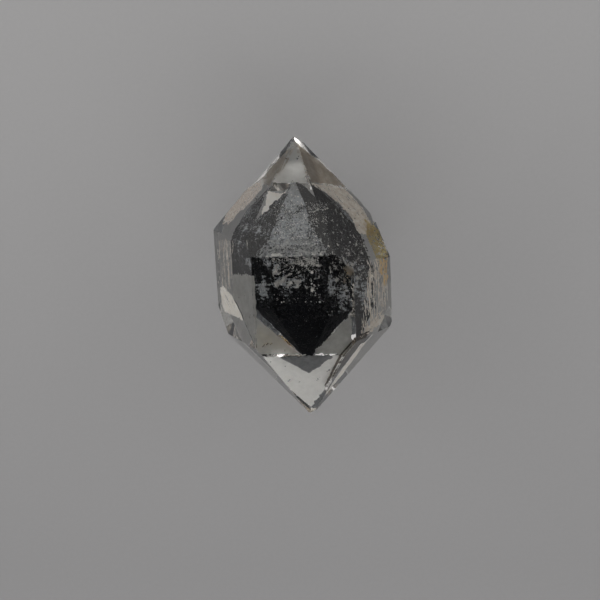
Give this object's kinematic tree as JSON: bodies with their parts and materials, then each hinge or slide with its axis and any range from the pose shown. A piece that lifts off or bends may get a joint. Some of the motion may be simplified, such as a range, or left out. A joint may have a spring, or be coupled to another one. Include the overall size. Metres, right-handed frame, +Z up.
{
  "type": "double terminated quartz crystal",
  "caption": "Stubby clear quartz crystal with a pyramid on both ends and a dark, dusty inner crystal sealed in it, lying on a flat side face.",
  "frame": {"origin": "bottom centre of the crystal's box, on the surface that it lies on", "axes": "+Y along the crystal's long axis towards its longer point, +Z up, out of its broad front face"},
  "size_m": [0.0176, 0.0278, 0.0145],
  "materials": {
    "clear_quartz": "glassy natural crystal faces, faintly smoky, with pale veils and iron stain near the surface",
    "dark_quartz": "grainy carbon black, with pale grey mineral dust on its upper faces"
  },
  "bodies": {
    "root": {"quartz_crystal": "clear_quartz", "quartz_crystal_front": "clear_quartz", "dark_inner_crystal": "dark_quartz"}
  },
  "joints": []
}
